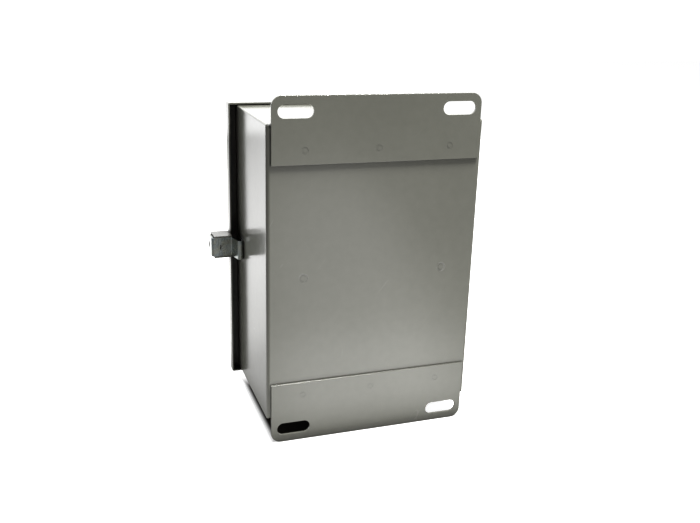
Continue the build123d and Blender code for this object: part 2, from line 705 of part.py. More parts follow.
def ground_nut():
    """The nut that clamps the grounding lug's tongue."""
    seat = PANEL_INSIDE - GROUND_TONGUE
    nut = hexagon_rod("y", 8.0, (seat - 4.0, seat), GROUND_STUD)
    return nut - rod("y", 2.55, (seat - 5, seat + 1), GROUND_STUD)


def ground_screw():
    """The set screw of the grounding lug."""
    tip = GROUND_BORE_Y - GROUND_BORE_RADIUS - 0.4
    length = 8.0
    body = Pos(0, 0, -length / 2) * Cylinder(GROUND_SCREW_RADIUS, length)
    body = chamfer(body.edges().filter_by(GeomType.CIRCLE), 0.4)
    body -= Pos(0, 0, -0.6) * Box(8, 1.1, 1.3)
    middle_x = sum(GROUND_LUG_X) / 2
    return facing("-y", (middle_x, tip - length, GROUND_STUD[1])) * body


# ---------------------------------------------------------------- write every part
def staple_rivets():
    """The two rivets through the staple's foot and the box side."""
    grip = STAPLE_SHEET + BODY_SHEET
    outside = HALF_WIDTH + STAPLE_SHEET
    return Compound([facing("+x", (outside, y, 0)) * rivet(grip) for y in STAPLE_RIVET_Y])


def all_parts():
    """Every piece of the enclosure, by node name."""
    parts = {
        "body_shell": body_shell(),
        "mounting_flange_upper": flange(1),
        "mounting_flange_lower": flange(-1),
        "cover_pan": cover_pan(),
        "cover_hasp_channel": hasp_channel(),
        "hasp_staple": staple(),
        "staple_rivets": staple_rivets(),
        "hub_closing_plate": hub_plate(),
        "hub_gasket": hub_gasket(),
        "hub_plate_screws": hub_screws(),
        "socket_bracket": socket_bracket(),
        "bracket_studs": weld_studs(),
        "bracket_nuts": bracket_nuts(),
        "block_screws": block_screws(),
        "jaw_bolts": jaw_bolts(),
        "lug_set_screws": lug_set_screws(),
        "neutral_bar": neutral_bar(),
        "neutral_set_screws": neutral_screws(),
        "neutral_bolt": neutral_bolt(),
        "ground_lug": ground_lug(),
        "ground_stud": ground_stud(),
        "ground_nut": ground_nut(),
        "ground_set_screw": ground_screw(),
    }
    grip = LEAF_SHEET + BODY_SHEET
    body_face = -HALF_WIDTH - LEAF_SHEET
    cover_face = -COVER_WIDTH / 2 - LEAF_SHEET
    parts["hinge_body_rivets"] = hinge_rivets(body_face, HINGE_BODY_RIVET_Y, "-x", grip)
    parts["hinge_cover_rivets"] = hinge_rivets(cover_face, HINGE_COVER_RIVET_Y, "-x", grip)
    for name, level in HINGE_LEVELS.items():
        parts[f"hinge_body_leaf_{name}"] = hinge_body_leaf(level)
        parts[f"hinge_cover_leaf_{name}"] = hinge_cover_leaf(level)
        parts[f"hinge_pin_{name}"] = hinge_pin(level)
    for side_name, side in SIDES.items():
        parts[f"insulator_block_{side_name}"] = insulator_block(side)
        for circuit, end in CIRCUITS.items():
            parts[f"jaw_{circuit}_{side_name}"] = blade_jaw(side, end)
            parts[f"jaw_spring_{circuit}_{side_name}"] = jaw_spring(side, end)
            parts[f"lug_{circuit}_{side_name}"] = wire_lug(side, end)
    return parts


for node, shape in all_parts().items():
    export_step(shape, f"parts/{node}.step")
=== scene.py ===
# %% [markdown]
# # A meter socket enclosure, finished in Blender
#
# The object is a sheet-steel box that hangs on a wall and holds a plug-in electricity meter.
# Its shape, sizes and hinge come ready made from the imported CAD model. This lesson gives every
# piece its real finish, winds real threads on the screws and studs that CAD leaves plain, and
# sets up a pale floor, soft lights and a camera behind and above the box.

# %% Load the frame
import json

import bpy
import numpy as np
from mathutils import Matrix, Vector


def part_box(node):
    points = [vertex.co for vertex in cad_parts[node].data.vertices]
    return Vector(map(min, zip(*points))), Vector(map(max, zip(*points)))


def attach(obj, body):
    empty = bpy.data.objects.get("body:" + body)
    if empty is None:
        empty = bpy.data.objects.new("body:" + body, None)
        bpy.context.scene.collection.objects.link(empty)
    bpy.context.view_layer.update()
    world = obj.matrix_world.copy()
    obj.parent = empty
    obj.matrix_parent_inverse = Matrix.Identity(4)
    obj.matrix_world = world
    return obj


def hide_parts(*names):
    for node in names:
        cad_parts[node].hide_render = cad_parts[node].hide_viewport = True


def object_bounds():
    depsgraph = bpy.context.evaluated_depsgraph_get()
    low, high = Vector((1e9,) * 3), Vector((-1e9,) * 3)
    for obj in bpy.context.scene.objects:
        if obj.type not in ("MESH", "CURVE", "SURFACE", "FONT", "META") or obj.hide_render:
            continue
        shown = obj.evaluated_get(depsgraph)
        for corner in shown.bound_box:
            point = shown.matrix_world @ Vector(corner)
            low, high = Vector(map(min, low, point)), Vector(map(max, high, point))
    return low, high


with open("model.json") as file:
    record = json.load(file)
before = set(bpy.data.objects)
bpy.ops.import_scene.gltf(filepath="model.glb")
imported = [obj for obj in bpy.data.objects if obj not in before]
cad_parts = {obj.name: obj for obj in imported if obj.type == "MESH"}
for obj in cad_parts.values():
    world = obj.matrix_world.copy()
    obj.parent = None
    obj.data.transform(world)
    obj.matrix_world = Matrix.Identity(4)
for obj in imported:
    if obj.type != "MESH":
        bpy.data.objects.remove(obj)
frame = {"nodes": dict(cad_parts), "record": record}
cad_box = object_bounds()
print("CAD box, metres:", [list(corner) for corner in cad_box])

# %% [markdown]
# All lengths are metres, as in the CAD frame: +Y goes into the wall, +Z is up, and a person who
# faces the cover has +X on the right. A millimetre is the handy unit for sheet metal, so it gets
# a name of its own.

# %% Units and the object's own faces
MM = 0.001

body_low, body_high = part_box("body_shell")
floor_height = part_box("mounting_flange_lower")[0].z
print("box back plane y =", round(body_high.y, 4), " floor z =", round(floor_height, 4))

# %% [markdown]
# ## Helpers for node trees
#
# A material is a small graph. A few helpers keep each finish short enough to read: one places a
# node with its settings and its inputs, some stand for a step of arithmetic or a mix of colours,
# one starts a reusable group with named sockets, and one places a finished group in another tree.

# %% Node helpers
def connect(tree, node, inputs):
    """Feeds each named or numbered input from another socket, or sets it to a fixed value."""
    for key, value in inputs.items():
        if isinstance(value, bpy.types.NodeSocket):
            tree.links.new(value, node.inputs[key])
        else:
            node.inputs[key].default_value = value


def place(tree, kind, inputs=None, **settings):
    """Adds one shader node, sets its properties, and feeds its inputs."""
    node = tree.nodes.new("ShaderNode" + kind)
    for name, value in settings.items():
        setattr(node, name, value)
    connect(tree, node, inputs or {})
    return node


def math(tree, operation, first, second=0.0, clamp=False):
    """One arithmetic step, as a socket."""
    node = place(tree, "Math", {0: first, 1: second}, operation=operation, use_clamp=clamp)
    return node.outputs[0]


def product(tree, *factors):
    """All the factors multiplied together, as a socket."""
    total = factors[0]
    for factor in factors[1:]:
        total = math(tree, "MULTIPLY", total, factor)
    return total


def blend_colours(tree, amount, first, second):
    """A mix from the first colour to the second, as a socket."""
    node = place(tree, "Mix", data_type="RGBA")
    connect(tree, node, {0: amount, 6: first, 7: second})
    return node.outputs[2]


def remap(tree, value, low, high, new_low=0.0, new_high=1.0):
    """Carries the range low..high to new_low..new_high and stops at both ends."""
    node = place(tree, "MapRange", {0: value, 1: low, 2: high, 3: new_low, 4: new_high})
    return node.outputs[0]


def start_group(name, inputs, outputs):
    """An empty node group with named sockets, and its tree, its way in and its way out."""
    tree = bpy.data.node_groups.new(name, "ShaderNodeTree")
    kinds = {"value": "NodeSocketFloat", "colour": "NodeSocketColor", "vector": "NodeSocketVector"}
    for socket, (kind, default) in inputs.items():
        made = tree.interface.new_socket(socket, in_out="INPUT", socket_type=kinds[kind])
        if default is not None:
            made.default_value = default
    for socket, kind in outputs.items():
        tree.interface.new_socket(socket, in_out="OUTPUT", socket_type=kinds[kind])
    way_in = tree.nodes.new("NodeGroupInput").outputs
    way_out = tree.nodes.new("NodeGroupOutput")
    return tree, way_in, way_out


def use_group(tree, group, **inputs):
    """Places a finished group in a material; underscores in the names stand for spaces."""
    node = place(tree, "Group", node_tree=group)
    connect(tree, node, {name.replace("_", " "): value for name, value in inputs.items()})
    return node.outputs


print("helpers ready")

# %% [markdown]
# ## Shared surface effects
#
# Real metal and plastic are never one flat colour. A few effects come back from finish to finish
# of this object, so each is built once as a group: clouds of colour, worn edges, scratches,
# settled dust, painted shade in recesses and fine grain. Every group hands back a colour, a mask
# or a height, and the finish decides what to do with it.

# %% Clouds of colour
def make_clouds():
    """Two sizes of soft noise added together: broad cloudiness, and a finer mottle over it."""
    tree, way_in, way_out = start_group(
        "clouds of colour",
        {"Vector": ("vector", None), "Size": ("value", 12.0), "Mottle": ("value", 160.0),
         "Light": ("colour", (1, 1, 1, 1)), "Dark": ("colour", (0, 0, 0, 1))},
        {"Colour": "colour", "Value": "value"})
    broad = place(tree, "TexNoise", {"Vector": way_in["Vector"], "Scale": way_in["Size"], "Detail": 3.0})
    fine = place(tree, "TexNoise", {"Vector": way_in["Vector"], "Scale": way_in["Mottle"], "Detail": 4.0})
    both = math(tree, "ADD", math(tree, "MULTIPLY", broad.outputs[0], 0.65),
                math(tree, "MULTIPLY", fine.outputs[0], 0.35))
    value = remap(tree, both, 0.34, 0.66)
    colour = blend_colours(tree, value, way_in["Dark"], way_in["Light"])
    connect(tree, way_out, {"Colour": colour, "Value": value})
    return tree


clouds = make_clouds()
print("group:", clouds.name)


# %% Worn edges
def make_worn_edges():
    """Compares the true normal with one rounded over a small radius: they differ only at edges.

    The difference, broken up by noise, says where handling has rubbed the finish thin.
    """
    tree, way_in, way_out = start_group(
        "worn edges",
        {"Vector": ("vector", None), "Radius": ("value", 0.0008), "Amount": ("value", 1.0),
         "Breakup": ("value", 220.0)},
        {"Mask": "value"})
    rounded = place(tree, "Bevel", {"Radius": way_in["Radius"]}, samples=4)
    true = place(tree, "NewGeometry")
    agree = place(tree, "VectorMath", {0: rounded.outputs[0], 1: true.outputs["Normal"]},
                  operation="DOT_PRODUCT")
    edge = remap(tree, agree.outputs["Value"], 0.995, 0.86)
    breakup = place(tree, "TexNoise",
                    {"Vector": way_in["Vector"], "Scale": way_in["Breakup"], "Detail": 5.0})
    kept = remap(tree, breakup.outputs[0], 0.38, 0.62)
    mask = math(tree, "MULTIPLY", math(tree, "MULTIPLY", edge, kept), way_in["Amount"], clamp=True)
    connect(tree, way_out, {"Mask": mask})
    return tree


worn_edges = make_worn_edges()
print("group:", worn_edges.name)


# %% Scratches
def make_scratches():
    """Thin contour lines of a stretched noise, kept only in the patches where a second is high."""
    tree, way_in, way_out = start_group(
        "scratches",
        {"Vector": ("vector", None), "Turn": ("value", 0.6), "Scale": ("value", 26.0),
         "Amount": ("value", 1.0)},
        {"Mask": "value"})
    turned = place(tree, "VectorRotate", {"Vector": way_in["Vector"], "Angle": way_in["Turn"]},
                   rotation_type="AXIS_ANGLE")
    turned.inputs["Axis"].default_value = (0.35, 0.9, 0.2)
    long = place(tree, "VectorMath", {0: turned.outputs[0], 1: (1.0, 1.0, 0.06)}, operation="MULTIPLY")
    lines = place(tree, "TexNoise", {"Vector": long.outputs[0], "Scale": way_in["Scale"],
                                     "Detail": 2.0, "Distortion": 0.4})
    near = math(tree, "ABSOLUTE", math(tree, "SUBTRACT", lines.outputs[0], 0.5))
    thin = remap(tree, near, 0.0028, 0.0006)
    patches = place(tree, "TexNoise", {"Vector": way_in["Vector"], "Scale": 34.0, "Detail": 1.0})
    kept = remap(tree, patches.outputs[0], 0.60, 0.68)
    mask = math(tree, "MULTIPLY", math(tree, "MULTIPLY", thin, kept), way_in["Amount"], clamp=True)
    connect(tree, way_out, {"Mask": mask})
    return tree


scratches = make_scratches()
print("group:", scratches.name)


# %% Settled dust
def make_dust():
    """Faces that look up gather dust, thicker where a soft noise says so."""
    tree, way_in, way_out = start_group(
        "settled dust", {"Vector": ("vector", None), "Amount": ("value", 0.3)}, {"Mask": "value"})
    surface = place(tree, "NewGeometry")
    up = place(tree, "SeparateXYZ", {0: surface.outputs["Normal"]})
    facing_up = remap(tree, up.outputs["Z"], 0.35, 0.95)
    patches = place(tree, "TexNoise", {"Vector": way_in["Vector"], "Scale": 55.0, "Detail": 6.0})
    kept = remap(tree, patches.outputs[0], 0.35, 0.7)
    mask = math(tree, "MULTIPLY", math(tree, "MULTIPLY", facing_up, kept), way_in["Amount"], clamp=True)
    connect(tree, way_out, {"Mask": mask})
    return tree


dust = make_dust()
print("group:", dust.name)


# %% Shaded recesses
def make_recesses():
    """How closed in a point is by surfaces within a short reach, where shade gets painted in."""
    tree, way_in, way_out = start_group(
        "shaded recesses", {"Reach": ("value", 0.012), "Amount": ("value", 0.6)}, {"Mask": "value"})
    open_sky = place(tree, "AmbientOcclusion", {"Distance": way_in["Reach"]}, samples=6)
    closed = remap(tree, open_sky.outputs["AO"], 0.92, 0.35)
    mask = math(tree, "MULTIPLY", closed, way_in["Amount"], clamp=True)
    connect(tree, way_out, {"Mask": mask})
    return tree


recesses = make_recesses()
print("group:", recesses.name)


# %% Fine grain
def make_grain():
    """A height made of two noises, a soft one like the skin of sprayed paint and a sharper one.

    Stretch multiplies the coordinates, so that one small number draws the grain out into lines.
    """
    tree, way_in, way_out = start_group(
        "fine grain",
        {"Vector": ("vector", None), "Stretch": ("vector", (1.0, 1.0, 1.0)),
         "Soft": ("value", 380.0), "Sharp": ("value", 2200.0), "Balance": ("value", 0.3)},
        {"Height": "value"})
    drawn = place(tree, "VectorMath", {0: way_in["Vector"], 1: way_in["Stretch"]}, operation="MULTIPLY")
    soft = place(tree, "TexNoise", {"Vector": drawn.outputs[0], "Scale": way_in["Soft"], "Detail": 1.0})
    sharp = place(tree, "TexNoise", {"Vector": drawn.outputs[0], "Scale": way_in["Sharp"], "Detail": 3.0})
    height = place(tree, "Mix", {0: way_in["Balance"], 2: soft.outputs[0], 3: sharp.outputs[0]})
    connect(tree, way_out, {"Height": height.outputs[0]})
    return tree


grain = make_grain()
print("group:", grain.name)

# %% [markdown]
# ## Starting a finish
#
# Every finish begins with the same three nodes: the object's own coordinates in metres, a
# Principled shader and the output. Bump comes last, because it takes whatever height the finish
# has worked out.

# %% A blank finish
def start_finish(name):
    """A new material; returns it with its tree, its shader and its coordinates in metres."""
    material = bpy.data.materials.new(name)
    material.use_nodes = True
    tree = material.node_tree
    tree.nodes.clear()
    shader = place(tree, "BsdfPrincipled")
    place(tree, "OutputMaterial", {"Surface": shader.outputs[0]})
    coordinates = place(tree, "TexCoord").outputs["Object"]
    return material, tree, shader, coordinates


def add_bump(tree, shader, height, distance, strength=1.0):
    """Feeds a height into the shader's normal; distance is its depth in metres."""
    bump = place(tree, "Bump", {"Height": height, "Distance": distance, "Strength": strength})
    connect(tree, shader, {"Normal": bump.outputs[0]})


print("ready to mix finishes")

# %% [markdown]
# ## Baked enamel on the sheet metal
#
# The box, its flanges and its cover are dipped and baked in a warm light grey enamel. It has a
# satin gloss with a faint skin, slow clouds of tone, a little dust on top, paint worn thin along
# the sheared edges, painted shade in narrow gaps and along the flanges' edges, and a few hairline
# scratches. On the back, the welds that hold the two bracket studs show as faint rings.

# %% Rings left by the stud welds
def make_weld_rings(centres, radius, back_plane):
    """For each weld, how near a point of the back is to a circle round it, broken into arcs.

    A point's distance from the centre, less the radius, gives the ring. Only the back's own
    thin layer counts, so that the rings don't pass through to the walls and the cover.
    """
    tree, way_in, way_out = start_group("weld rings", {"Vector": ("vector", None)}, {"Mask": "value"})
    flat = place(tree, "VectorMath", {0: way_in["Vector"], 1: (1.0, 0.0, 1.0)}, operation="MULTIPLY")
    total = 0.0
    for x, z in centres:
        away = place(tree, "VectorMath", {0: flat.outputs[0], 1: (x, 0.0, z)}, operation="DISTANCE")
        off_ring = math(tree, "ABSOLUTE", math(tree, "SUBTRACT", away.outputs["Value"], radius))
        ring = remap(tree, off_ring, 1.1 * MM, 0.2 * MM)
        total = math(tree, "MAXIMUM", ring, total)
    arcs = place(tree, "TexNoise", {"Vector": way_in["Vector"], "Scale": 130.0, "Detail": 2.0})
    broken = math(tree, "MULTIPLY", total, remap(tree, arcs.outputs[0], 0.40, 0.60))
    depth = place(tree, "SeparateXYZ", {0: way_in["Vector"]})
    at_back = math(tree, "GREATER_THAN", depth.outputs["Y"], back_plane)
    mask = math(tree, "MULTIPLY", broken, at_back)
    connect(tree, way_out, {"Mask": mask})
    return tree


stud_low, stud_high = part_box("bracket_studs")
stud_radius = (stud_high.z - stud_low.z) / 2
stud_x = stud_high.x - stud_radius
stud_z = (stud_high.z + stud_low.z) / 2
weld_centres = [(stud_x, stud_z), (-stud_x, stud_z)]
weld_rings = make_weld_rings(weld_centres, 4.0 * MM, body_high.y - 1.0 * MM)
print("weld rings at x = +/-", round(stud_x, 4))


# %% The enamel itself
def make_enamel():
    material, tree, shader, where = start_finish("grey enamel")
    tone = use_group(tree, clouds, Vector=where, Size=9.0, Mottle=120.0,
                     Light=(0.232, 0.233, 0.205, 1), Dark=(0.208, 0.209, 0.183, 1))
    wear = use_group(tree, worn_edges, Vector=where, Radius=0.7 * MM, Amount=0.40)["Mask"]
    lines = use_group(tree, scratches, Vector=where, Amount=0.12)["Mask"]
    rings = use_group(tree, weld_rings, Vector=where)["Mask"]
    powder = use_group(tree, dust, Vector=where, Amount=0.07)["Mask"]
    marks = math(tree, "MAXIMUM", lines, math(tree, "MULTIPLY", rings, 0.4))
    colour = blend_colours(tree, wear, tone["Colour"], (0.44, 0.44, 0.42, 1))
    colour = blend_colours(tree, marks, colour, (0.52, 0.52, 0.50, 1))
    colour = blend_colours(tree, powder, colour, (0.46, 0.44, 0.40, 1))
    # Painted shade: the colour goes near black where nearby surfaces close a point in, such as behind the
    # cover's lip and under the upper flange; the same mask also roughens the paint.
    painted_recess_shade = use_group(tree, recesses, Reach=14.0 * MM, Amount=0.85)["Mask"]
    colour = blend_colours(tree, painted_recess_shade, colour, (0.030, 0.028, 0.024, 1))
    rough = remap(tree, tone["Value"], 0.0, 1.0, 0.14, 0.19)
    rough = math(tree, "ADD", rough, math(tree, "MULTIPLY", painted_recess_shade, 0.5), clamp=True)
    rough = math(tree, "ADD", rough, math(tree, "MULTIPLY", powder, 0.6), clamp=True)
    skin = use_group(tree, grain, Vector=where, Soft=420.0, Sharp=1700.0, Balance=0.25)["Height"]
    height = math(tree, "ADD", skin, math(tree, "MULTIPLY", marks, 0.5))
    connect(tree, shader, {"Base Color": colour, "Roughness": rough, "Specular IOR Level": 0.9})
    add_bump(tree, shader, height, 0.018 * MM)
    return material


finishes = {"grey_enamel": make_enamel()}
print("finish: grey_enamel")

# %% [markdown]
# ## Zinc plate with a passivated tint
#
# The staple, the screws and the rivets are steel with bright zinc on them. A chromate dip leaves
# a thin film, and its thickness wanders, so the grey metal slides between a bluish and a yellow
# tint with hints of purple. The staple's strap was drawn through rolls, so its grain is stretched
# into lines, which a small number in one direction gives.

# %% Zinc plate
def make_zinc(name, tint, base_dark, base_light, stretch, rough_low, rough_high):
    """Metal whose colour slides through a ramp of film tints, with drawn-out grain in the bump."""
    material, tree, shader, where = start_finish(name)
    film = place(tree, "TexNoise", {"Vector": where, "Scale": 95.0, "Detail": 3.0, "Distortion": 1.2})
    ramp = place(tree, "ValToRGB", {0: film.outputs[0]})
    stops = [(0.30, (0.50, 0.56, 0.62, 1)), (0.44, (0.62, 0.62, 0.60, 1)),
             (0.54, (0.70, 0.66, 0.50, 1)), (0.62, (0.58, 0.50, 0.58, 1)), (0.72, (0.52, 0.60, 0.60, 1))]
    ramp.color_ramp.elements.remove(ramp.color_ramp.elements[1])
    ramp.color_ramp.elements[0].position = stops[0][0]
    ramp.color_ramp.elements[0].color = stops[0][1]
    for position, shade in stops[1:]:
        ramp.color_ramp.elements.new(position).color = shade
    tone = use_group(tree, clouds, Vector=where, Size=70.0, Mottle=900.0,
                     Light=base_light, Dark=base_dark)
    colour = blend_colours(tree, tint, tone["Colour"], ramp.outputs[0])
    wear = use_group(tree, worn_edges, Vector=where, Radius=0.5 * MM, Amount=0.8, Breakup=500.0)["Mask"]
    colour = blend_colours(tree, wear, colour, (0.86, 0.87, 0.86, 1))
    lines = use_group(tree, grain, Vector=where, Stretch=stretch, Soft=900.0, Sharp=3200.0,
                      Balance=0.55)["Height"]
    rough = remap(tree, lines, 0.35, 0.65, rough_low, rough_high)
    connect(tree, shader, {"Base Color": colour, "Roughness": rough, "Metallic": 1.0})
    add_bump(tree, shader, lines, 0.02 * MM)
    return material


ROLLED = (1.0, 1.0, 0.08)
EVEN = (1.0, 1.0, 1.0)

finishes["zinc_plated_strap"] = make_zinc(
    "zinc plated strap", tint=0.22, base_dark=(0.13, 0.15, 0.145, 1), base_light=(0.34, 0.37, 0.36, 1),
    stretch=ROLLED, rough_low=0.16, rough_high=0.30)
finishes["zinc_plated_hardware"] = make_zinc(
    "zinc plated hardware", tint=0.35, base_dark=(0.50, 0.51, 0.52, 1), base_light=(0.74, 0.75, 0.75, 1),
    stretch=EVEN, rough_low=0.22, rough_high=0.38)
finishes["plated_set_screw"] = make_zinc(
    "plated set screw", tint=0.25, base_dark=(0.34, 0.35, 0.37, 1), base_light=(0.58, 0.59, 0.60, 1),
    stretch=EVEN, rough_low=0.26, rough_high=0.42)
print("finishes:", ", ".join(finishes))

# %% [markdown]
# ## Galvanised bracket
#
# Hot-dipped zinc freezes into crystals. Each crystal, or spangle, shines a little differently,
# which a cell pattern gives: every cell has its own grey and its own roughness.

# %% Galvanised steel
def make_galvanised():
    material, tree, shader, where = start_finish("galvanised steel")
    bent = place(tree, "TexNoise", {"Vector": where, "Scale": 160.0, "Detail": 2.0})
    wander = place(tree, "VectorMath", {0: bent.outputs["Color"], 1: (0.004, 0.004, 0.004)},
                   operation="MULTIPLY")
    moved = place(tree, "VectorMath", {0: where, 1: wander.outputs[0]}, operation="ADD")
    cells = place(tree, "TexVoronoi", {"Vector": moved.outputs[0], "Scale": 170.0})
    shade = place(tree, "SeparateColor", {0: cells.outputs["Color"]})
    colour = blend_colours(tree, shade.outputs[0], (0.44, 0.46, 0.48, 1), (0.68, 0.70, 0.71, 1))
    rough = remap(tree, shade.outputs[1], 0.0, 1.0, 0.30, 0.55)
    skin = use_group(tree, grain, Vector=where, Soft=500.0, Sharp=2600.0, Balance=0.5)["Height"]
    connect(tree, shader, {"Base Color": colour, "Roughness": rough, "Metallic": 1.0})
    add_bump(tree, shader, skin, 0.02 * MM)
    return material


finishes["galvanised_bracket"] = make_galvanised()
print("finish: galvanised_bracket")

# %% [markdown]
# ## Blade jaws, springs and lugs
#
# The jaws are copper with a tin skin, and the copper shows pink where a sheared edge rubs. The
# springs that back them are blued steel. The lugs are sawn from a drawn aluminium bar, so they
# have straight saw lines across their ends and a soft shine on their sides.

# %% Tin over copper, blued steel and sawn aluminium
def make_tinned_copper():
    material, tree, shader, where = start_finish("tinned copper")
    tone = use_group(tree, clouds, Vector=where, Size=60.0, Mottle=500.0,
                     Light=(0.80, 0.79, 0.75, 1), Dark=(0.60, 0.59, 0.56, 1))
    wear = use_group(tree, worn_edges, Vector=where, Radius=0.4 * MM, Amount=0.9, Breakup=320.0)["Mask"]
    colour = blend_colours(tree, wear, tone["Colour"], (0.78, 0.40, 0.26, 1))
    drawn = use_group(tree, grain, Vector=where, Stretch=(1.0, 0.12, 1.0), Soft=700.0, Sharp=2800.0,
                      Balance=0.5)["Height"]
    rough = remap(tree, drawn, 0.35, 0.65, 0.24, 0.40)
    connect(tree, shader, {"Base Color": colour, "Roughness": rough, "Metallic": 1.0})
    add_bump(tree, shader, drawn, 0.015 * MM)
    return material


def make_spring_steel():
    material, tree, shader, where = start_finish("blued spring steel")
    tone = use_group(tree, clouds, Vector=where, Size=150.0, Mottle=900.0,
                     Light=(0.20, 0.22, 0.30, 1), Dark=(0.11, 0.10, 0.11, 1))
    wear = use_group(tree, worn_edges, Vector=where, Radius=0.3 * MM, Amount=0.8, Breakup=700.0)["Mask"]
    colour = blend_colours(tree, wear, tone["Colour"], (0.55, 0.53, 0.50, 1))
    skin = use_group(tree, grain, Vector=where, Soft=900.0, Sharp=3000.0, Balance=0.5)["Height"]
    rough = remap(tree, skin, 0.35, 0.65, 0.25, 0.42)
    connect(tree, shader, {"Base Color": colour, "Roughness": rough, "Metallic": 1.0})
    add_bump(tree, shader, skin, 0.01 * MM)
    return material


def make_sawn_aluminium():
    material, tree, shader, where = start_finish("sawn aluminium")
    tone = use_group(tree, clouds, Vector=where, Size=80.0, Mottle=700.0,
                     Light=(0.84, 0.85, 0.86, 1), Dark=(0.68, 0.69, 0.71, 1))
    wear = use_group(tree, worn_edges, Vector=where, Radius=0.4 * MM, Amount=0.6, Breakup=400.0)["Mask"]
    colour = blend_colours(tree, wear, tone["Colour"], (0.93, 0.93, 0.92, 1))
    saw = place(tree, "TexWave", {"Vector": where, "Scale": 420.0, "Distortion": 1.6, "Detail": 2.0},
                bands_direction="X")
    skin = use_group(tree, grain, Vector=where, Stretch=(1.0, 1.0, 0.1), Soft=900.0, Sharp=2600.0,
                     Balance=0.5)["Height"]
    height = math(tree, "ADD", math(tree, "MULTIPLY", saw.outputs["Fac"], 0.35), skin)
    rough = remap(tree, height, 0.4, 0.9, 0.30, 0.48)
    connect(tree, shader, {"Base Color": colour, "Roughness": rough, "Metallic": 1.0})
    add_bump(tree, shader, height, 0.03 * MM)
    return material


finishes["tinned_copper"] = make_tinned_copper()
finishes["spring_steel"] = make_spring_steel()
finishes["aluminium_lug"] = make_sawn_aluminium()
print("finishes:", len(finishes))

# %% [markdown]
# ## Moulded blocks and the gasket
#
# The blocks that hold the jaws are a hard moulded plastic filled with wood flour: nearly black,
# brown where the filler shows, with a fine stipple from the mould. The gasket is matt rubber.

# %% Moulded plastic and rubber
def make_moulded_plastic():
    material, tree, shader, where = start_finish("moulded plastic")
    tone = use_group(tree, clouds, Vector=where, Size=45.0, Mottle=1400.0,
                     Light=(0.052, 0.043, 0.038, 1), Dark=(0.020, 0.018, 0.018, 1))
    wear = use_group(tree, worn_edges, Vector=where, Radius=0.7 * MM, Amount=0.5, Breakup=260.0)["Mask"]
    powder = use_group(tree, dust, Vector=where, Amount=0.35)["Mask"]
    colour = blend_colours(tree, wear, tone["Colour"], (0.13, 0.11, 0.095, 1))
    colour = blend_colours(tree, powder, colour, (0.30, 0.28, 0.25, 1))
    stipple = use_group(tree, grain, Vector=where, Soft=1300.0, Sharp=3600.0, Balance=0.4)["Height"]
    rough = remap(tree, stipple, 0.3, 0.7, 0.38, 0.56)
    connect(tree, shader, {"Base Color": colour, "Roughness": rough})
    add_bump(tree, shader, stipple, 0.05 * MM)
    return material


def make_rubber():
    material, tree, shader, where = start_finish("black rubber")
    tone = use_group(tree, clouds, Vector=where, Size=80.0, Mottle=900.0,
                     Light=(0.040, 0.040, 0.041, 1), Dark=(0.018, 0.018, 0.019, 1))
    skin = use_group(tree, grain, Vector=where, Soft=900.0, Sharp=3000.0, Balance=0.6)["Height"]
    rough = remap(tree, skin, 0.3, 0.7, 0.62, 0.82)
    connect(tree, shader, {"Base Color": tone["Colour"], "Roughness": rough})
    add_bump(tree, shader, skin, 0.04 * MM)
    return material


finishes["moulded_insulator"] = make_moulded_plastic()
finishes["black_rubber"] = make_rubber()
print("finishes:", len(finishes))

# %% [markdown]
# ## Putting the finishes on
#
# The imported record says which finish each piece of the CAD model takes, so the materials go on by
# a loop over its list, and nothing has to be named twice.

# %% Dress the CAD pieces
slot_of = {part["node"]: part["material_slot"] for part in frame["record"]["subparts"]}
for node, slot_name in slot_of.items():
    piece = frame["nodes"][node]
    piece.data.materials.clear()
    piece.data.materials.append(finishes[slot_name])
print("dressed", len(slot_of), "pieces")

# %% [markdown]
# ## Threads on the screws and studs
#
# A screw made of a plain cylinder looks like a dowel. A real thread is one ridge that winds up the
# rod, so the surface is easy to state: the crest lies wherever height over pitch, less the share of
# a turn, is a whole number, and the radius dips halfway between. The same grid of rings goes on
# over the chamfer, across the end face and down into the hexagonal key socket, so each screw is
# one closed skin. The places and sizes come from the boxes of the CAD screws.

# %% A threaded skin
RING_POINTS = 48
ROWS_PER_TURN = 8
THREAD_DEPTH = 0.55     # of the pitch
CHAMFER_DEPTH = 0.35    # of the pitch
CHAMFER_RUN = 0.4       # of the pitch
CAP_RING = 0.55         # of the radius
KEY_DEPTH = 0.45        # of the screw's length


def hexagon_reach(angle, across_flats):
    """Distance from the centre to a hexagon's edge at each angle: half the width over the cosine
    of the angle from the middle of the nearest flat."""
    sixth = np.pi / 3
    return across_flats / 2 / np.cos((angle + sixth / 2) % sixth - sixth / 2)


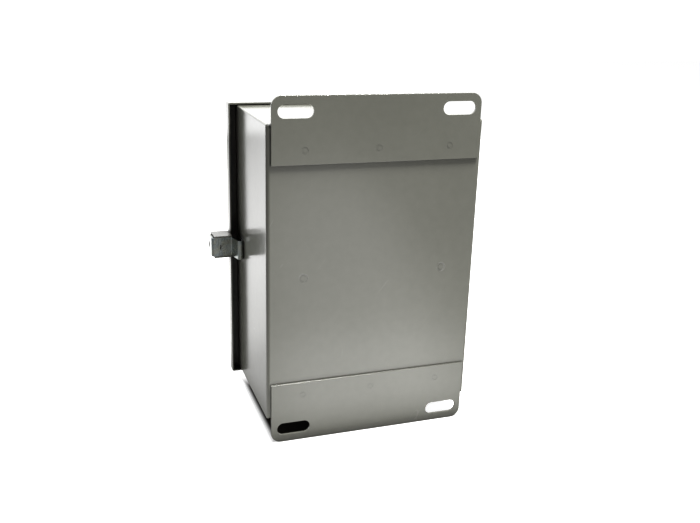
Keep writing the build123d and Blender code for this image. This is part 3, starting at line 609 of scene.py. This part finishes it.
def threaded_rings(radius, length, pitch, key_width=0.0, key_depth=0.0):
    """Radius and height of every ring of a rod that lies along its own axis from 0 to length.

    The thread's dip is a triangle wave of (height / pitch - turn), faded out at both ends, and a
    chamfer takes more off close to them. Caps close the rod, and a key width above zero sinks a
    hexagonal socket into the far end.
    """
    angle = np.linspace(0.0, 2 * np.pi, RING_POINTS, endpoint=False)
    rows = int(round(length / pitch * ROWS_PER_TURN)) + 1
    height = np.linspace(0.0, length, rows)[:, None]
    phase = (height / pitch - angle[None, :] / (2 * np.pi)) % 1.0
    dip = 1.0 - np.abs(2.0 * phase - 1.0)
    from_end = np.minimum(height, length - height)
    fade = np.clip(from_end / pitch, 0.0, 1.0)
    thread = radius - THREAD_DEPTH * pitch * dip * fade
    chamfer = CHAMFER_DEPTH * pitch * (1.0 - np.clip(from_end / (CHAMFER_RUN * pitch), 0.0, 1.0))
    ring = np.ones((1, RING_POINTS))
    cap = CAP_RING * radius * ring
    if key_width:
        hexagon = hexagon_reach(angle, key_width)[None, :]
        end_rings = [(1.06 * hexagon, length), (hexagon, length - 0.05 * key_width),
                     (hexagon, length - key_depth), (0.5 * hexagon, length - 1.08 * key_depth)]
    else:
        end_rings = [(cap, length)]
    reach = np.vstack([cap, thread - chamfer] + [width for width, level in end_rings])
    rise = np.vstack([0.0 * ring, height * ring] + [level * ring for width, level in end_rings])
    return angle, reach, rise


def skin_of_rings(angle, reach, rise, foot, direction):
    """Points and faces of a closed skin: rings about a line through foot, with a pole at each end.

    A point is foot + rise * along + reach * (cos(angle) * side + sin(angle) * other).
    """
    along = np.array(direction, dtype=float)
    side = np.cross(along, (0.0, 0.0, 1.0))
    side /= np.linalg.norm(side)
    other = np.cross(along, side)
    points = (np.array(foot) + rise[..., None] * along
              + (reach * np.cos(angle))[..., None] * side + (reach * np.sin(angle))[..., None] * other)
    rows = len(reach)
    start = np.array(foot) + rise[0, 0] * along
    end = np.array(foot) + rise[-1, 0] * along
    points = np.vstack([points.reshape(-1, 3), start, end])
    column = np.arange(RING_POINTS)
    beside = (column + 1) % RING_POINTS
    row = (np.arange(rows - 1) * RING_POINTS)[:, None]
    here = row + column
    next_to = row + beside
    quads = np.stack([here, next_to, next_to + RING_POINTS, here + RING_POINTS], -1)
    last = (rows - 1) * RING_POINTS
    start_pole = np.full(RING_POINTS, rows * RING_POINTS)
    start_fan = np.stack([beside, column, start_pole], -1)
    end_fan = np.stack([last + column, last + beside, start_pole + 1], -1)
    return points, quads.reshape(-1, 4), np.vstack([start_fan, end_fan])


def join_skins(name, skins, finish, node):
    """One object made of several closed skins; it stands for a CAD node and rides on its body."""
    points, faces, offset = [], [], 0
    for skin_points, quads, triangles in skins:
        points.append(skin_points)
        faces += (quads + offset).tolist() + (triangles + offset).tolist()
        offset += len(skin_points)
    mesh = bpy.data.meshes.new(name)
    mesh.from_pydata(np.vstack(points).tolist(), [], faces)
    mesh.validate()
    mesh.shade_smooth()
    mesh.set_sharp_from_angle(angle=np.radians(35.0))
    mesh.materials.append(finishes[finish])
    piece = bpy.data.objects.new(name, mesh)
    bpy.context.scene.collection.objects.link(piece)
    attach(piece, "enclosure")
    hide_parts(node)
    print(name, "has", len(mesh.vertices), "points")


# %% The set screws
def centre_of(node):
    """The middle of a CAD node's box."""
    low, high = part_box(node)
    return (low + high) / 2


def set_screws(node, centres, radius, pitch, key_width):
    """A set screw at each centre, from the back of the node's box to its front, key end forward."""
    low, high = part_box(node)
    length = high.y - low.y
    skins = []
    for x, z in centres:
        angle, reach, rise = threaded_rings(radius, length, pitch, key_width, KEY_DEPTH * length)
        skins.append(skin_of_rings(angle, reach, rise, (x, high.y, z), (0.0, -1.0, 0.0)))
    join_skins("threaded_" + node, skins, "plated_set_screw", node)


lug_centre = centre_of("lug_line_right")
lug_screw_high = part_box("lug_set_screws")[1]
lug_screw_radius = lug_screw_high.x - lug_centre.x
lug_screw_z = lug_screw_high.z - lug_screw_radius
lug_screw_centres = [(x, z) for x in (lug_centre.x, -lug_centre.x) for z in (lug_screw_z, -lug_screw_z)]
set_screws("lug_set_screws", lug_screw_centres, lug_screw_radius, pitch=1.4 * MM, key_width=4.8 * MM)

neutral_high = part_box("neutral_set_screws")[1]
neutral_radius = neutral_high.x
neutral_z = neutral_high.z - neutral_radius
set_screws("neutral_set_screws", [(0.0, neutral_z), (0.0, -neutral_z)], neutral_radius,
           pitch=1.3 * MM, key_width=4.2 * MM)

ground_centre = centre_of("ground_set_screw")
ground_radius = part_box("ground_set_screw")[1].x - ground_centre.x
set_screws("ground_set_screw", [(ground_centre.x, ground_centre.z)], ground_radius,
           pitch=1.0 * MM, key_width=3.0 * MM)


# %% The studs
def threaded_studs(node, centres, radius, pitch):
    """A threaded rod at each centre, from the back of the node's box to its front."""
    low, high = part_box(node)
    skins = []
    for x, z in centres:
        angle, reach, rise = threaded_rings(radius, high.y - low.y, pitch)
        skins.append(skin_of_rings(angle, reach, rise, (x, high.y, z), (0.0, -1.0, 0.0)))
    join_skins("threaded_" + node, skins, "zinc_plated_hardware", node)


threaded_studs("bracket_studs", weld_centres, stud_radius, pitch=1.0 * MM)
ground_stud_centre = centre_of("ground_stud")
ground_stud_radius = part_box("ground_stud")[1].x - ground_stud_centre.x
threaded_studs("ground_stud", [(ground_stud_centre.x, ground_stud_centre.z)], ground_stud_radius,
               pitch=0.8 * MM)

# %% [markdown]
# ## Floor and light
#
# The box stands on a light table, as small goods do in a product studio: a pale opal sheet with
# lamps under it. It shines up past the foot of the back and, more strongly the farther it runs
# beyond the object, up on to the staple's side, which mirrors it. The eye sees the sheet as plain
# white with a painted shadow under the box, so the floor answers the camera and the light rays apart.
# Borders are pairs of distances in metres: where a zone begins to change, and where it has changed.

# %% Where the light table shines
FOOT_GLOW = 0.75
BACK_GLOW = 0.8
SIDE_GLOW_NEAR = 0.55
SIDE_GLOW_FAR = 1.30

BACK_SIDES = (0.20, 0.05)
FOOT_START = (0.0, 0.04)
FOOT_END = (0.30, 0.15)
BACK_START = (0.02, 0.08)
BACK_END = (1.6, 0.8)
SIDE_BORDERS = (0.34, 0.16)
SIDE_START = (0.10, 0.13)
SIDE_CORNER = (0.06, 0.0)
SIDE_RISE = (-0.10, -0.50)


def soft_step(tree, value, low, high):
    """Rises smoothly from 0 at low to 1 at high, or falls if low is the larger."""
    node = place(tree, "MapRange", {0: value, 1: low, 2: high}, interpolation_type="SMOOTHSTEP")
    return node.outputs[0]


def off_line(tree, at, slope, offset):
    """Distance from a slanting line on the floor: the size of x + slope * y + offset."""
    leaning = math(tree, "ADD", at["X"], math(tree, "MULTIPLY", at["Y"], slope))
    return math(tree, "ABSOLUTE", math(tree, "ADD", leaning, offset))


def make_table_glow(tree, where):
    """How strongly the sheet shines at a point: the sum of two zones behind the back, which share
    their sides, and one beside the box that brightens as it runs on beyond the cover."""
    at = place(tree, "SeparateXYZ", {0: where}).outputs
    foot = product(tree, FOOT_GLOW,
                   soft_step(tree, at["Y"], *FOOT_START), soft_step(tree, at["Y"], *FOOT_END))
    back = product(tree, BACK_GLOW,
                   soft_step(tree, at["Y"], *BACK_START), soft_step(tree, at["Y"], *BACK_END))
    sides = soft_step(tree, off_line(tree, at, 0.25, 0.01), *BACK_SIDES)
    behind = product(tree, math(tree, "ADD", foot, back), sides)
    beside = product(tree,
                     remap(tree, at["Y"], *SIDE_RISE, SIDE_GLOW_NEAR, SIDE_GLOW_FAR),
                     soft_step(tree, off_line(tree, at, 0.36, -0.12), *SIDE_BORDERS),
                     soft_step(tree, at["X"], *SIDE_START),
                     soft_step(tree, at["Y"], *SIDE_CORNER))
    return math(tree, "ADD", behind, beside)


print("glow beside the box:", SIDE_GLOW_NEAR, "to", SIDE_GLOW_FAR)


# %% The floor
FLOOR_SEEN = 0.75
FLOOR_HALF = 4.0
FLOOR_GAP = 0.2 * MM


def mask_outside_painted_shadow(tree, where):
    """1 where the eye sees plain floor and 0 in the painted shadow under the box, by soft borders."""
    at = place(tree, "SeparateXYZ", {0: where}).outputs
    right_of = soft_step(tree, at["X"], body_high.x - 11 * MM, body_high.x - 3 * MM)
    left_of = soft_step(tree, at["X"], -20 * MM, -55 * MM)
    behind = soft_step(tree, at["Y"], -14 * MM, 6 * MM)
    ahead = soft_step(tree, at["Y"], body_low.y + 10 * MM, body_low.y - 30 * MM)
    clear = right_of
    for border in (left_of, behind, ahead):
        clear = math(tree, "MAXIMUM", clear, border)
    return clear


def make_floor_finish():
    """Two shaders: one shines on the object zone by zone, and the other is what the camera sees, with a
    painted shadow under the box.
    """
    material, tree, shader, where = start_finish("pale floor")
    tone = use_group(tree, clouds, Vector=where, Size=3.0, Mottle=40.0,
                     Light=(0.90, 0.90, 0.90, 1), Dark=(0.88, 0.88, 0.88, 1))["Colour"]
    dull = blend_colours(tree, 0.7, tone, (0.05, 0.05, 0.05, 1))
    connect(tree, shader, {"Base Color": dull, "Roughness": 0.6, "Specular IOR Level": 0.1,
                           "Emission Color": (1, 1, 1, 1),
                           "Emission Strength": make_table_glow(tree, where)})
    clear = mask_outside_painted_shadow(tree, where)
    # Painted shadow: the floor the camera sees goes near black under the box, and its glow fades out
    # there.
    shaded = blend_colours(tree, clear, (0.05, 0.045, 0.04, 1), tone)
    seen = place(tree, "BsdfPrincipled", {"Base Color": shaded, "Roughness": 0.8,
                                          "Specular IOR Level": 0.0, "Emission Color": (1, 1, 1, 1),
                                          "Emission Strength": math(tree, "MULTIPLY", clear, FLOOR_SEEN)})
    looking = place(tree, "LightPath").outputs["Is Camera Ray"]
    both = place(tree, "MixShader", {0: looking, 1: shader.outputs[0], 2: seen.outputs[0]})
    out = next(node for node in tree.nodes if node.type == "OUTPUT_MATERIAL")
    connect(tree, out, {"Surface": both.outputs[0]})
    return material


def make_floor():
    """A square sheet just below the lower flange's edge."""
    mesh = bpy.data.meshes.new("floor")
    corners = [(-FLOOR_HALF, -FLOOR_HALF), (FLOOR_HALF, -FLOOR_HALF),
               (FLOOR_HALF, FLOOR_HALF), (-FLOOR_HALF, FLOOR_HALF)]
    mesh.from_pydata([(x, y, floor_height - FLOOR_GAP) for x, y in corners], [], [(0, 1, 2, 3)])
    mesh.materials.append(make_floor_finish())
    floor = bpy.data.objects.new("floor", mesh)
    bpy.context.scene.collection.objects.link(floor)


make_floor()
print("floor at z =", round(floor_height, 4))

# %% [markdown]
# ## Lamps and room
#
# Three soft boxes light the rest. A broad one beyond the cover is what the top and the upper part
# of the staple's side mirror. One hangs over the front. The last is small and strong and hangs
# almost straight above the back, so that its light grazes the back and the upper flange's edge
# throws a narrow shadow.

# %% The lights
def aim(thing, place_at, target):
    """Stands a light at a place and turns its -Z axis to a target."""
    thing.location = Vector(place_at)
    direction = Vector(target) - Vector(place_at)
    thing.rotation_mode = "QUATERNION"
    thing.rotation_quaternion = direction.to_track_quat("-Z", "Y")


def add_softbox(name, place_at, target, size, radiance, colour=(1.0, 1.0, 1.0)):
    """A rectangular lamp: its power is its radiance times its area times pi."""
    data = bpy.data.lights.new(name, "AREA")
    data.shape = "RECTANGLE"
    data.size, data.size_y = size
    data.energy = radiance * size[0] * size[1] * np.pi
    data.color = colour
    light = bpy.data.objects.new(name, data)
    bpy.context.scene.collection.objects.link(light)
    aim(light, place_at, target)


middle = (cad_box[0] + cad_box[1]) / 2
add_softbox("backdrop_lamp", place_at=(0.0, -1.6, 0.55), target=(0.0, 0.0, 0.5),
            size=(3.6, 1.4), radiance=1.6)
add_softbox("overhead_lamp", place_at=(0.0, -0.7, 1.5), target=middle,
            size=(1.3, 0.9), radiance=2.2)
add_softbox("high_lamp", place_at=(-0.35, 0.33, 1.45), target=(0.0, 0.0, 0.0),
            size=(0.5, 0.25), radiance=90.0, colour=(1.0, 1.0, 0.96))


# %% The room
def make_room(seen, cast):
    """A world that is white to the camera and casts a dimmer light on the object."""
    world = bpy.data.worlds.new("studio")
    world.use_nodes = True
    tree = world.node_tree
    tree.nodes.clear()
    looking = place(tree, "LightPath").outputs["Is Camera Ray"]
    shown = place(tree, "Background", {"Color": (1, 1, 1, 1), "Strength": seen})
    casting = place(tree, "Background", {"Color": (1, 1, 1, 1), "Strength": cast})
    both = place(tree, "MixShader", {0: looking, 1: casting.outputs[0], 2: shown.outputs[0]})
    place(tree, "OutputWorld", {"Surface": both.outputs[0]})
    bpy.context.scene.world = world


make_room(seen=1.0, cast=0.08)
bpy.context.scene.view_settings.view_transform = "Standard"
bpy.context.scene.view_settings.look = "Medium High Contrast"
print("room ready")

# %% [markdown]
# ## Camera
#
# The camera stands behind the box, above it and a little to the side that has the staple, so the
# two flanges, the back and the staple's side all show. Its three axes are unit vectors in the
# object's frame, which lets it keep the slight roll of a camera held by hand.

# %% The camera
camera_data = bpy.data.cameras.new("camera")
camera = bpy.data.objects.new("camera", camera_data)
bpy.context.scene.collection.objects.link(camera)
right = Vector((-0.9450, 0.3260, 0.0276))
down = Vector((0.0764, 0.3019, -0.9503))
forward = Vector((-0.3181, -0.8959, -0.3102))
camera.matrix_world = Matrix((right, -down, -forward)).transposed().to_4x4()
camera.location = Vector((0.2695, 0.6907, 0.2515))
camera_data.sensor_width = 36.0
camera_data.lens = 43.6
bpy.context.scene.camera = camera
print("camera at", [round(value, 3) for value in camera.location])

# %% [markdown]
# ## Done
#

# %% Done
print("scene ready")
